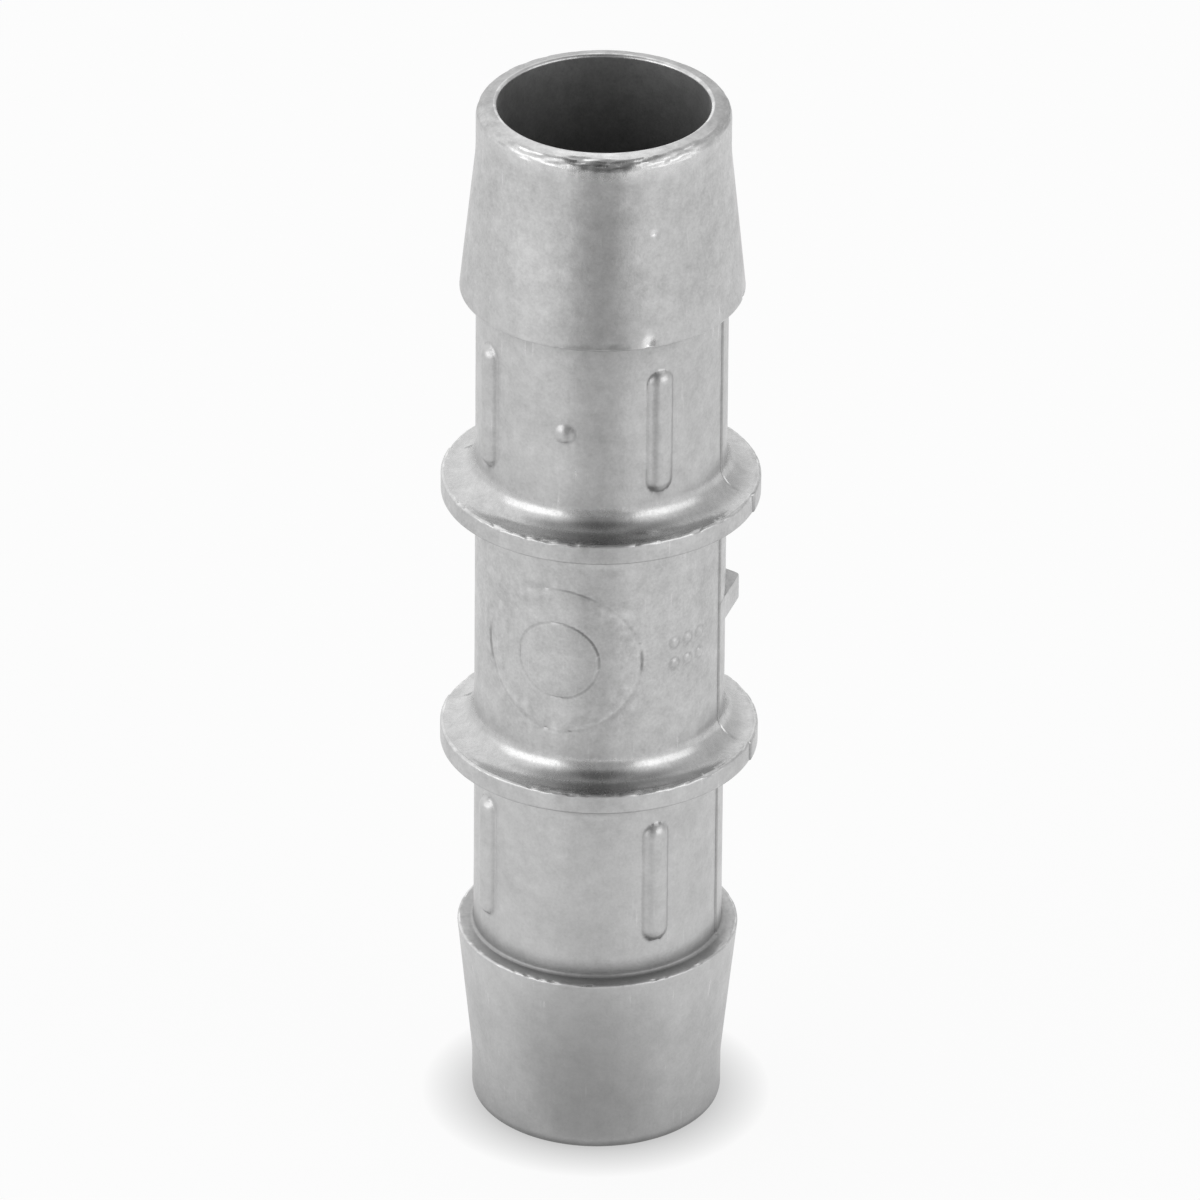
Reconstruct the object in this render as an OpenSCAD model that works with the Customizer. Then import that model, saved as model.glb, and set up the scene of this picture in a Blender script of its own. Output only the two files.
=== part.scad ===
// Double-ended hose barb coupler, cast in one piece.
// It stands on its lower end: Z runs along the bore, and the origin is the middle of the lower end face.
// The two mould halves meet on the XZ plane. The front half is the one towards -Y.

/* [Tube] */
// Length from end face to end face
total_length = 85.4; // [76:0.2:120]
// Diameter of the straight bore
bore_d = 16; // [13:0.1:16.8]
// Outer diameter of the hose seats and of the body between the collars
seat_d = 19; // [18:0.1:20.4]

/* [Barbs] */
// Diameter at the sharp shoulder that holds the hose
barb_d = 21.6; // [20.6:0.1:24]
// Length of a barb from its shoulder to the end face
barb_length = 15.4; // [11:0.1:18]
// Diameter of the straight land at the tip
land_d = 19.2; // [18.6:0.1:20.2]
// Length of the straight land at the tip
land_length = 3.9; // [2:0.1:7]
// Radius of the round outer lip
lip_radius = 1; // [0.4:0.05:1.1]
// Radius of the round inside edge of the mouth
mouth_radius = 0.25; // [0.1:0.05:0.35]
// Radius of the blend between the land and the taper
taper_blend_radius = 12.5; // [4:0.5:16]
// Radius on the shoulder's edge
shoulder_edge_radius = 0.18; // [0.1:0.02:0.3]
// Radius in the corner between the shoulder and the hose seat
shoulder_root_radius = 0.3; // [0.2:0.05:1]

/* [Collars] */
// Outer diameter of the two collars
collar_d = 24.2; // [23.6:0.1:28]
// Thickness of a collar at its rim
collar_thickness = 1.7; // [1:0.1:3]
// Clear length of the body between the collars
collar_gap = 19.8; // [15:0.1:24]
// Radius of the sweep from a collar's faces down to the tube
collar_fillet_radius = 1.9; // [0.8:0.1:2]
// Radius on the edges of a collar's rim
collar_edge_radius = 0.22; // [0.1:0.02:0.4]

/* [Hose seat ribs] */
// Ribs on each hose seat
rib_count = 4; // [2:2:8]
// Clear length of seat left at each end of a rib
rib_end_clearance = 2.7; // [2:0.05:4.5]
// Width of a rib where it meets the seat
rib_width = 2.1; // [1.2:0.1:3]
// Height of a rib above the seat
rib_height = 0.6; // [0.2:0.05:0.8]

/* [Mould marks] */
// Sideways step between the two mould halves
mould_step = 0.1; // [0.04:0.02:0.16]
// Diameter of the round pip on the front of the upper seat
pip_d = 1.6; // [0.8:0.1:2.4]
// Height of that pip
pip_height = 0.3; // [0.15:0.05:0.4]
// How far the gate stub's flat face is cut back behind the widest line of the tube
gate_cut = 0.05; // [0.03:0.01:0.3]
// How far the gate stub runs back from the parting plane
gate_length = 5.3; // [3.5:0.1:6.5]
// Height of the gate stub along the tube
gate_height = 2.05; // [1:0.05:4]
// Height of the gate stub's middle above the middle of the tube
gate_offset = 0.5; // [-2:0.05:2]
// Radius on the gate stub's rear edge
gate_edge_radius = 0.4; // [0.1:0.05:0.8]
// Diameter of the round joint line that the mould insert left on the front
insert_d = 6.4; // [3:0.1:8]
// Diameter of the larger joint line round it
insert_seat_d = 12.2; // [9:0.1:14]
// How far the middle of those joint lines is off the middle of the front
insert_offset = 0.4; // [0:0.1:1]
// Width of those joint lines
joint_line_width = 0.22; // [0.12:0.02:0.4]
// Depth of those joint lines
joint_line_depth = 0.08; // [0.04:0.02:0.16]

/* [Hidden] */
$fn = 96;

half_length = total_length / 2;
bore_r = bore_d / 2;
seat_r = seat_d / 2;
barb_r = barb_d / 2;
land_r = land_d / 2;
collar_r = collar_d / 2;

// Heights above the middle of the tube
shoulder_z = half_length - barb_length;
land_z = half_length - land_length;
collar_in_z = collar_gap / 2;
collar_out_z = collar_in_z + collar_thickness;
seat_mid_z = (collar_out_z + shoulder_z) / 2;
seat_length = shoulder_z - collar_out_z;

// The cast skin and the plain core inside it overlap within the wall, and so join as one solid.
skin_in_r = bore_r + (seat_r - bore_r) / 3;
core_r = bore_r + (seat_r - bore_r) * 2 / 3;

// Radii on the steps, each kept within its share of the step or the wall that it is cut in
edge_share = 1 / 4;
root_share = 4 / 5;
sweep_share = 0.95;
tip_wall = land_r - bore_r;
shoulder_step = barb_r - seat_r;
collar_step = collar_r - seat_r;
mouth_round = min(mouth_radius, tip_wall * edge_share);
lip_round = min(lip_radius, tip_wall * sweep_share - mouth_round);
shoulder_edge = min(shoulder_edge_radius, shoulder_step * edge_share);
shoulder_root = min(shoulder_root_radius, (shoulder_step - shoulder_edge) * root_share);
collar_edge = min(collar_edge_radius, collar_thickness * edge_share, collar_step * edge_share);
collar_fillet = min(collar_fillet_radius, collar_step * sweep_share - collar_edge);

// How far the skin runs on inside each barb, and how wide it is there: a third of the flat ring
// between the shoulder's root and its edge
weld = 0.5;
shoulder_flat = shoulder_step - shoulder_root - shoulder_edge;
weld_r = seat_r + shoulder_root + shoulder_flat / 3;

// Sections are lists of [radius, height, corner radius], running anticlockwise.
upper_core = [
    [core_r, shoulder_z, 0],
    [barb_r, shoulder_z, shoulder_edge],
    [land_r, land_z, taper_blend_radius],
    [land_r, half_length, lip_round],
    [bore_r, half_length, mouth_round]
];
upper_skin = [
    [seat_r, collar_in_z, collar_fillet],
    [collar_r, collar_in_z, collar_edge],
    [collar_r, collar_out_z, collar_edge],
    [seat_r, collar_out_z, collar_fillet],
    [seat_r, shoulder_z, shoulder_root],
    [weld_r, shoulder_z, 0],
    [weld_r, shoulder_z + weld, 0],
    [skin_in_r, shoulder_z + weld, 0]
];

function flipped(half) = [for (i = [len(half) - 1:-1:0]) [half[i].x, -half[i].y, half[i].z]];
function both_ends(half) = concat(flipped(half), half);
function unit(v) = v / norm(v);
function cross_z(a, b) = a.x * b.y - a.y * b.x;

// The wedge between a corner and the arc that rounds it, reaching a little past the corner
module corner_wedge(before, corner, after, radius) {
    reach = 0.1;
    to_before = unit(before - corner);
    to_after = unit(after - corner);
    half_angle = acos(to_before * to_after) / 2;
    tangent = radius / tan(half_angle);
    bisector = unit(to_before + to_after);
    centre = corner + bisector * radius / sin(half_angle);
    difference() {
        polygon([
            corner + to_before * tangent,
            centre,
            corner + to_after * tangent,
            corner - bisector * reach
        ]);
        translate(centre) circle(r = radius);
    }
}

// Rounds the corners of an outline that turn left (turn = 1) or right (turn = -1)
module corner_wedges(outline, turn) {
    count = len(outline);
    for (i = [0:count - 1]) {
        corner = outline[i];
        before = outline[(i + count - 1) % count];
        after = outline[(i + 1) % count];
        at = [corner.x, corner.y];
        from = [before.x, before.y];
        to = [after.x, after.y];
        if (corner.z > 0 && turn * cross_z(at - from, to - at) > 0)
            corner_wedge(from, at, to, corner.z);
    }
}

// An outline with its outside corners rounded off and its inside corners filled
module rounded(outline) {
    difference() {
        union() {
            polygon([for (p = outline) [p.x, p.y]]);
            corner_wedges(outline, -1);
        }
        corner_wedges(outline, 1);
    }
}

// The bore, the mouths and the two barbs, turned true about the axis
module core() {
    rotate_extrude() rounded(both_ends(upper_core));
}

module skin() {
    rotate_extrude() rounded(both_ends(upper_skin));
}

// A rod with round ends, sunk in the wall so that only its crest stands out
module rib() {
    rod_r = (pow(rib_width / 2, 2) + pow(rib_height, 2)) / (2 * rib_height);
    straight = seat_length / 2 - rib_end_clearance - rib_width / 2;
    translate([seat_r + rib_height - rod_r, 0, 0])
        union() {
            cylinder(r = rod_r, h = 2 * straight, center = true);
            for (end = [-1, 1]) translate([0, 0, end * straight]) sphere(r = rod_r);
        }
}

module seat_ribs() {
    for (i = [0:rib_count - 1]) rotate(180 / rib_count + i * 360 / rib_count) rib();
}

// A shallow dome on the front of the upper seat
module pip() {
    ball_r = (pow(pip_d / 2, 2) + pow(pip_height, 2)) / (2 * pip_height);
    translate([0, ball_r - pip_height - seat_r, seat_mid_z]) sphere(r = ball_r);
}

// What is left of the gate: a flat-faced fin that comes out of the tube just behind the parting plane
module gate_stub() {
    rear_slope = 0.36;
    face_x = seat_r - gate_cut;
    plan = [
        [0, 0, 0],
        [face_x, 0, 0],
        [face_x, gate_length, gate_edge_radius],
        [0, gate_length + face_x * rear_slope, 0]
    ];
    translate([0, 0, gate_offset - gate_height / 2]) linear_extrude(gate_height) rounded(plan);
}

// A shallow round line cut into the front of the body, following its curve
module joint_line(d) {
    overshoot = 1;
    rotate([90, 0, 0])
        difference() {
            cylinder(r = (d + joint_line_width) / 2, h = barb_d);
            translate([0, 0, -overshoot])
                cylinder(r = (d - joint_line_width) / 2, h = barb_d + 2 * overshoot);
        }
}

module joint_lines() {
    difference() {
        translate([-insert_offset, 0, 0]) {
            joint_line(insert_d);
            joint_line(insert_seat_d);
        }
        cylinder(r = seat_r - joint_line_depth, h = collar_gap * 2, center = true);
    }
}

// What stands on the skin, kept clear of the bore
module raised_marks() {
    difference() {
        union() {
            for (end = [-1, 1]) translate([0, 0, end * seat_mid_z]) seat_ribs();
            pip();
            gate_stub();
        }
        cylinder(r = core_r, h = total_length, center = true);
    }
}

// Half of the cast skin: side is -1 for the front half of the mould and 1 for the back half
module mould_half(side) {
    half_space = collar_d * 2;
    translate([side * mould_step / 2, 0, 0])
        intersection() {
            difference() {
                union() {
                    skin();
                    raised_marks();
                }
                joint_lines();
            }
            translate([0, side * half_space / 2, 0])
                cube([half_space, half_space, total_length * 2], center = true);
        }
}

module coupler_body() {
    color([0.70, 0.70, 0.70])
        translate([0, 0, half_length])
            union() {
                core();
                mould_half(-1);
                mould_half(1);
            }
}

coupler_body();
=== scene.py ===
import math

import bpy
import numpy as np
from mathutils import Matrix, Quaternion, Vector, noise


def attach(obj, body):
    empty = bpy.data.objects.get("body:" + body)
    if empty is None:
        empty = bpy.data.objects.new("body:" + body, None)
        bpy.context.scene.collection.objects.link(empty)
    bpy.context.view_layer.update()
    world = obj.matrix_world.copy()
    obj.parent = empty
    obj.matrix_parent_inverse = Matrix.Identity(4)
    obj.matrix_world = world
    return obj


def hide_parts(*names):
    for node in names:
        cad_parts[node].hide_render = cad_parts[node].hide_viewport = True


# The looks of a cast steel hose barb coupler, standing on its lower end.
# One watertight mesh stands for the CAD node. It has the same section, ribs, pip, joint lines,
# mould step and gate fin, and adds the wear and unevenness of a real casting.

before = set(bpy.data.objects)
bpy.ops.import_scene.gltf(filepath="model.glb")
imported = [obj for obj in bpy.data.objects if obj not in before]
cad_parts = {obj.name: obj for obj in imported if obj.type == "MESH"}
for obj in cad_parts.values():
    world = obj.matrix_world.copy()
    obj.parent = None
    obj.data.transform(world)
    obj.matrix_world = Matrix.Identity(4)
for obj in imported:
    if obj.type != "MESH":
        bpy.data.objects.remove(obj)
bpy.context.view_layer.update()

# Sizes in millimetres, as in the CAD. Heights are above the middle of the tube. Azimuths are in
# degrees, from the front of the mould (-Y) towards the gate (+X).
MM = 0.001
TOLERANCE = 0.001
HALF_LENGTH = 42.7
BORE_R = 8.0
SEAT_R = 9.5

BARB_R = 10.8
BARB_LENGTH = 15.4
LAND_R = 9.6
LAND_LENGTH = 3.9
LIP_RADIUS = 1.0
MOUTH_RADIUS = 0.25
BLEND_RADIUS = 12.5
SHOULDER_EDGE = 0.18
SHOULDER_ROOT = 0.3
SHOULDER_Z = HALF_LENGTH - BARB_LENGTH
LAND_Z = HALF_LENGTH - LAND_LENGTH

COLLAR_R = 12.1
COLLAR_THICKNESS = 1.7
COLLAR_FILLET = 1.9
COLLAR_EDGE = 0.22
COLLAR_IN_Z = 9.9
COLLAR_OUT_Z = COLLAR_IN_Z + COLLAR_THICKNESS
SEAT_MID_Z = (COLLAR_OUT_Z + SHOULDER_Z) / 2

RIB_AZIMUTHS = (-135, -45, 45, 135)
RIB_HALF_WIDTH = 1.05
RIB_HEIGHT = 0.6
RIB_END_CLEARANCE = 2.7
RIB_HALF_STRAIGHT = (SHOULDER_Z - COLLAR_OUT_Z) / 2 - RIB_END_CLEARANCE - RIB_HALF_WIDTH
RIB_BLEND = 0.06

# Each pip is a shallow dome: azimuth, height, radius, height of its crest, blend at its foot.
# Six plain small ones stand where the mould has its cavity number.
PIP_R = 0.8
CAVITY_PIP_R = 0.45
CAVITY_PIP_PLACES = ((54, 0.9), (62, 0.9), (70, 0.9), (54, -0.9), (62, -0.9), (70, -0.9))
PIPS = ((0, SEAT_MID_Z, PIP_R, 0.3, 0.06),)
PIPS += tuple((azimuth, height, CAVITY_PIP_R, 0.16, 0.03) for azimuth, height in CAVITY_PIP_PLACES)

# A rod or a ball is met only within this many degrees of its middle.
NEAR_TURN = 60

SEAM_AZIMUTH = 90
MOULD_STEP = 0.1
INSERT_RS = (3.2, 6.1)
INSERT_X = -0.4
LINE_WIDTH = 0.22
LINE_DEPTH = 0.08

GATE_FACE_X = 9.45
GATE_LENGTH = 5.3
GATE_REAR_SLOPE = 0.36
GATE_REAR_BLEND = 0.35
GATE_MID_Z = 0.5
GATE_HALF_HEIGHT = 1.025
GATE_LAST_AZIMUTH = 130
GATE_EDGE_DROP = 0.05
GATE_EDGE_REACH = 0.14

# Upper half of the section, anticlockwise: radius, height, corner radius, steps in the corner,
# and whether the corner is a sharp one that wears
UPPER_HALF = (
    (SEAT_R, COLLAR_IN_Z, COLLAR_FILLET, 8, False),
    (COLLAR_R, COLLAR_IN_Z, COLLAR_EDGE, 4, True),
    (COLLAR_R, COLLAR_OUT_Z, COLLAR_EDGE, 4, True),
    (SEAT_R, COLLAR_OUT_Z, COLLAR_FILLET, 8, False),
    (SEAT_R, SHOULDER_Z, SHOULDER_ROOT, 4, False),
    (BARB_R, SHOULDER_Z, SHOULDER_EDGE, 4, True),
    (LAND_R, LAND_Z, BLEND_RADIUS, 4, False),
    (LAND_R, HALF_LENGTH, LIP_RADIUS, 12, False),
    (BORE_R, HALF_LENGTH, MOUTH_RADIUS, 4, True),
)

# How close the rows stand: lowest height, highest height, spacing
ROW_ZONES = (
    (-6.5, 6.5, 0.2),
    (SHOULDER_Z - 1.6, SHOULDER_Z, 0.3),
    (-SHOULDER_Z, -SHOULDER_Z + 1.6, 0.3),
    (SEAT_MID_Z - 5.4, SEAT_MID_Z - 4.0, 0.23),
    (SEAT_MID_Z + 4.0, SEAT_MID_Z + 5.4, 0.17),
    (SEAT_MID_Z - 0.95, SEAT_MID_Z + 0.95, 0.18),
    (-SEAT_MID_Z - 5.4, -SEAT_MID_Z - 4.0, 0.23),
    (-SEAT_MID_Z + 4.0, -SEAT_MID_Z + 5.4, 0.19),
    (SHOULDER_Z, SHOULDER_Z + 1.2, 0.22),
    (36.1, 37.0, 0.18),
)
ROW_SPACING = 0.85
FACE_SPACING = 0.25
BORE_SPACING = 6.0
CORNER_ROW = 0.08
GATE_EDGE_ROWS = (-0.03, 0.0, 0.05, 0.14)

# How close the columns stand, in degrees of azimuth
COLUMN_ZONES = (
    (-36, 37.5, 1.05),
    (-52.5, -37.5, 0.58),
    (37.5, 52.5, 0.58),
    (52.5, 73, 0.85),
    (84, 89.9, 0.9),
    (90.1, 92, 0.9),
    (114, 119, 0.45),
    (119, 128, 1.3),
    (-142.5, -127.5, 0.85),
    (127.5, 142.5, 0.85),
)
COLUMN_SPACING = 2.3
SEAM_HALF_GAP = 0.22

# How finely a run is walked along to space its rows or columns
SPREAD_POINTS = 6001

# How far each seed shifts the noise along X, Y and Z
SEED_STEPS = (17.3, 5.9, 11.1)

# The cast skin's unevenness: size and depth of each wave. Their seeds are 1, 2 and 3.
WAVES = ((9.0, 0.02), (2.6, 0.014), (1.2, 0.006))

# The other noises: size of the features and seed
EDGE_WEAR_NOISE = (0.7, 5)
STREAK_NOISE = (1.0, 9)
RAGGED_NOISE = (0.6, 12)
HAMMERED_NOISE = (0.5, 15)
RIM_NOISE = (1.1, 21)

# Noise is made into patches with a contrast and a level.
EDGE_WEAR_PATCHES = (2.2, 0.1)
STREAK_PATCHES = (1.6, 0.3)

# A pair called a fade or a turn is where something starts and where it is full.
LINE_FADE = (1.25, 0.25)
NICK_FADE = (1.2, 0.2)
LINE_GRIME_AND_SHADE_FADE = (1.4, 0.4)

# Dents and nicks: azimuth, height, radius, half width, half height, depth
NICKS = (
    (36.0, SHOULDER_Z + 0.5, BARB_R, 0.5, 0.65, 0.17),
    (39.8, 36.55, 9.8, 0.4, 0.32, 0.09),
    (97.0, SHOULDER_Z + 0.2, BARB_R, 0.35, 0.3, 0.12),
    (88.5, COLLAR_OUT_Z, COLLAR_R, 0.5, 0.5, 0.12),
    (12.0, COLLAR_OUT_Z, COLLAR_R, 0.3, 0.25, 0.07),
    (-31.0, COLLAR_OUT_Z, COLLAR_R, 0.5, 0.25, 0.06),
    (-3.0, -COLLAR_IN_Z, COLLAR_R, 0.35, 0.25, 0.07),
    (31.5, -COLLAR_IN_Z, COLLAR_R, 0.5, 0.25, 0.1),
    (44.0, -COLLAR_IN_Z, COLLAR_R, 0.4, 0.25, 0.06),
    (6.0, HALF_LENGTH - 0.2, 9.1, 1.1, 0.45, 0.14),
    (22.0, HALF_LENGTH - 0.55, 9.5, 1.3, 0.35, 0.09),
    (-24.0, HALF_LENGTH - 0.3, 9.3, 0.9, 0.3, 0.06),
    (52.0, HALF_LENGTH - 0.3, 9.3, 0.7, 0.35, 0.07),
    (-160.0, COLLAR_IN_Z, COLLAR_R, 0.5, 0.4, 0.1),
    (170.0, -COLLAR_OUT_Z, COLLAR_R, 0.4, 0.4, 0.1),
    (-120.0, SHOULDER_Z + 0.3, BARB_R, 0.5, 0.4, 0.1),
)
NICK_BRIGHT_DEPTH = 0.08

# The worn sharp edges that face up. Their brightening is wear, and also a painted highlight
EDGE_WEAR_DEPTH = 0.09
EDGE_WEAR_LEAST = 0.2
EDGE_FACING_FADE = (0.2, 1.6 / 3)

# The rubbed lip of the upper mouth, with streaks that run round it, and its rim
STREAK_SCALE = (0.24, 1.5)
STREAK_DEPTH = 0.07
STREAK_TONE = 0.6
STREAK_RISE = 0.25
STREAK_INSET = 0.15
STREAK_SPREAD = 1 / 6
LIP_BAND = 1.2 * LIP_RADIUS
# The lip's painted highlight fades round the sides away from the camera: where that starts and is
# full, and how much goes
LIP_TURN = (11.25, 75)
LIP_TURN_LOSS = 0.85
RIM_R = 9.15
RIM_DROP = 0.165
RIM_TILT = 10
RIM_WAVE = 0.012

# The hammered ring inside the larger joint line
HAMMERED_R = INSERT_RS[1] - 0.3
HAMMERED_FADE = (1.6, 0.6)
HAMMERED_DEPTH = 0.035
HAMMERED_TONE = 0.3

# Lighter and darker spots, most of them painted light and shade: glints on nicks and rims, a lighter
# and a darker stripe on the upper nose, bands across the lip, and shade at the nose's lower edge.
# Each gives azimuth, height, radius, half width, half height, and how much lighter (above 0) or
# darker (below 0) it is
SPOTS = (
    (15.5, 42.1, 9.5, 2.6, 0.33, -0.95),
    (5.0, 42.5, 9.3, 0.9, 0.18, 0.9),
    (-27.0, 42.52, 9.35, 3.2, 0.12, -0.35),
    (52.0, 42.52, 9.35, 3.0, 0.12, -0.35),
    (-15.0, 33.5, 10.2, 1.7, 5.0, 0.16),
    (57.0, 33.5, 10.2, 1.5, 5.0, -0.1),
    (8.0, 27.5, 10.8, 1.3, 0.3, -0.5),
    (22.0, 27.5, 10.8, 1.5, 0.3, -0.6),
    (36.0, 28.1, 10.8, 0.5, 0.6, 0.35),
    (33.2, -9.8, 12.1, 0.4, 0.3, 0.8),
    (26.0, 4.1, 9.5, 1.6, 0.5, 0.25),
    (-62.0, 42.5, 9.3, 1.5, 0.4, 0.5),
    (17.0, 42.65, 8.7, 5.5, 0.2, 0.25),
)
SPOT_REACH = 1.4
SPOT_LIMIT = 2
SPOT_RAGGED = 0.9
SPOT_RADIUS_SHARE = 0.5

# The fin's upper face, darkened as painted shade: its last azimuth, and how far off its height and
# radius it reaches
GATE_TOP_END = 124
GATE_TOP_BAND = (-0.01, 0.04)
GATE_TOP_INSET = 0.2
GATE_TOP_TONE = 0.6

# How dark the round joint lines are: grime, with painted shade that is heavier on some arcs than
# others. Each: radius, direction in degrees, half spread, strength
LINE_GRIME_AND_SHADE = (
    (3.2, 40, 45, 1.0),
    (3.2, -60, 45, 0.45),
    (3.2, 130, 40, 0.35),
    (3.2, 200, 60, 0.2),
    (6.1, 76, 14, 0.75),
    (6.1, 186, 12, 0.8),
    (6.1, -1, 9, 0.6),
    (6.1, -110, 60, 0.15),
    (6.1, 35, 20, 0.12),
)
LINE_GRIME_AND_SHADE_REACH = 1

# Grime along the seams. The width is in degrees, and the last share is for the side at -X.
SEAM_GRIME_WIDTH = 1.5
SEAM_GRIME = 0.6
SEAM_GRIME_ON_SWEEP = 0.12
SEAM_SWEEP_MARGIN = 0.1
SEAM_FAR_SHARE = 0.15

# Painted shade: dark lines at the feet of the ribs and pips
CREASE_WIDTH = 0.16
RIB_CREASE = 1
PIP_CREASE = 0.8
CAVITY_PIP_CREASE = 1.6

# Painted shade in the shoulders' corners: its reach out and along, and how it thins round the sides
CORNER_REACH = (1.5, 1.7)
CORNER_POWER = 1.3
CORNER_TURN = (28, 84)
CORNER_TURN_LOSS = 0.4
UPPER_CORNER_SHARE = 0.5

# Painted shade on the lower shoulder's flat top, from its left to its right as the camera sees it
SHELF_SHADE = (0.36, 0.1)
SHELF_HALF_TURN = 35

# Painted shade along the collars' lower rims, at the foot, and on the sides of the upper rim
UNDER_RIM_SHADE = 0.6
UNDER_RIM_FADE = (0.21, 0.07)
UNDER_RIM_WIDTH = 0.6
FOOT_SHADE = 0.7
FOOT_HEIGHT = 1.0
FOOT_MARGIN = 0.05
FOOT_FADE = 0.6
FOOT_RAGGED = 0.15
RIM_SIDE_SHADE = 0.35
RIM_SIDE_TURN = (50, 75)
RIM_SIDE_BAND = 0.7
BARB_MARGIN = 0.1

# The smooth sweeps: how far they keep from the seat and from the rim, and how much they face up
SWEEP_MARGINS = (0.02, 0.25)
SWEEP_FACING = 0.05

# Painted shade in the bore: everywhere, more of it on its darkest side, and more of it deep down
BORE_DARK = (0.7, 0.1, 0.2)
BORE_DARK_AZIMUTH = 190
BORE_DARK_HALF_TURN = 65
BORE_DARK_DEPTH = 16

# How strong the grain is at each height
GRAIN_HEIGHTS = (-42.7, -27.3, -12, -2, 4, 15, 27, 32, 42.7)
GRAIN_LEVELS = (0.45, 0.5, 0.7, 1.0, 1.0, 0.75, 0.8, 1.0, 1.0)

# Angle between faces from which an edge is drawn sharp, in degrees
SHARP_ANGLE = 38

# The metal's noises: scale per metre, detail, roughness. A span is the part of a noise that counts.
PATCHES = (260.0, 3.0, 0.6)
MOTTLE = (900.0, 3.0, 0.6)
SPECKLE = (4200.0, 3.0, 0.65)
GRAIN = (9000.0, 2.0, 0.6)
DIMPLES = (1500.0, 3.0, 0.6)
SCRATCHES = (3000.0, 1.0, 0.5)
SCRATCH_STRETCH = (1.0, 1.0, 0.07)
NOISE_SPAN = (0.3, 0.7)
SPECKLE_SPAN = (0.25, 0.75)
SCRATCH_SPAN = (0.7, 0.78)
SCRATCHED_SPAN = (0.45, 0.6)

# The metal's tone. A mask adds its amount, or scales the tone from its first to its last factor.
TONE_RANGE = (0.51, 0.565)
MOTTLE_TONE = 0.055
SPECKLE_TONE = 0.055
SCRATCH_TONE = 0.09
# Both also add a painted highlight, on the lip and on the edges that face up.
TONE_ADDED = (("edge_wear_and_highlight", 0.2), ("lip", 0.14))
# All but the seam's factor paint shade: in the bore, towards the lower end, in creases and in
# corners.
TONE_FACTORS = (
    ("bore", 1, 0.5),
    ("dull_and_shade", 0.96, 0.72),
    ("seam", 1, 0.5),
    ("crease", 1, 0.84),
    ("corner", 1, 0.55),
)
MARKS_FACTORS = (0.5, 1.5)
LINE_FACTOR = 0.5

# A joint line is dark up to the first distance from its middle, and clean beyond the second.
LINE_DARK = (0.05, 0.15)

# The metal's roughness, and the height of its fine relief
ROUGH_RANGE = (0.38, 0.32)
SPECKLE_ROUGH = 0.05
SCRATCH_ROUGH = -0.08
ROUGH_ADDED = (
    ("edge_wear_and_highlight", -0.16),
    ("lip", -0.1),
    ("bore", 0.35),
    ("dull_and_shade", 0.05),
    ("corner", 0.3),
    ("sweep", -0.09),
)
SPECKLE_RELIEF = 0.5
GRAIN_RELIEF = 0.2
SWEEP_RELIEF = 0.28
BUMP_STRENGTH = 0.5
BUMP_DISTANCE = 0.00004

# The camera: azimuth and elevation in degrees, distance in metres, lens in millimetres
VIEW_AZIMUTH = 17.0
VIEW_ELEVATION = 28.8
VIEW_DISTANCE = 1.1617
VIEW_LENS = 458.6
VIEW_SENSOR = 36
VIEW_ROLL = 0.47
VIEW_TARGET = (0.0, 0.0, 0.04305)
VIEW_REACH = 50

# The light tent's level. It is dimmer before the object, overhead and at its back right: each
# is a direction's cosine where that starts and where it is full, and the share of light left.
WORLD_LEVEL = 1.18
DIM_FRONT = (0.78, 0.97, 0.27)
DIM_OVERHEAD = (0.74, 0.9, 0.35)
DIM_OVERHEAD_ELEVATION = 74
DIM_BEHIND = (0.45, 0.95, 0.6)
DIM_BEHIND_AZIMUTH = 120

# The soft boxes: name, azimuth from the camera in degrees, power in watts. Sizes are in metres.
SOFT_BOXES = (("left_box", -60, 1.42), ("right_box", 60, 1.1))
SOFT_BOX_ELEVATION = 17
SOFT_BOX_DISTANCE = 1.0
SOFT_BOX_SIZE = (1.05, 0.45)

# The floor, in metres. Its glow is dimmer at the foot as a painted contact shadow: where that is
# full, where it ends, its share.
FLOOR_HALF = 6.0
FLOOR_TONE = 0.92
FLOOR_GLOW = 0.9
FLOOR_SHADE = (0.0088, 0.0135, 0.6)

# The cards, in metres. Only the metal sees them, and they put painted shade into its reflections.
# The upright ones stand one on another, each with its own tone. The lying ones are lists of corners:
# distance towards the camera, and to its right.
CARD_DISTANCE = 0.085
CARD_WIDTH = 0.06
CARD_SHIFT = -0.003
CARD_HEIGHTS = (0.0, 0.005, 0.03, 0.08)
CARD_TONES = (0.66, 0.95, 0.54)
FLOOR_CARD = ((0.0105, -0.036), (0.0105, 0.036), (0.055, 0.036), (0.055, -0.036))
FLOOR_CARD_MIDDLE = (0.018, -0.002)
FLOOR_CARD_FADE = (0.003, 0.024, 0.54, 0.98)
FLOOR_STRIP = ((0.062, -0.028), (0.062, 0.016), (0.085, 0.021), (0.085, -0.039))
FLOOR_CARD_HEIGHT = 0.0005


# Small helpers

def unit(vector):
    return vector / np.linalg.norm(vector)


def ramp(values, start, end):
    """0 at start and 1 at end, straight between them and level beyond."""
    return np.clip((values - start) / (end - start), 0, 1)


def turn_from(azimuth, middle):
    """Degrees from middle to each azimuth, from -180 to 180."""
    return (azimuth - middle + 180) % 360 - 180


def spacing_at(places, zones, elsewhere):
    """How close the lines stand at each place."""
    spacing = np.full(len(places), float(elsewhere))
    for low, high, close in zones:
        inside = (places >= low) & (places <= high)
        spacing[inside] = np.minimum(spacing[inside], close)
    return spacing


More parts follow.
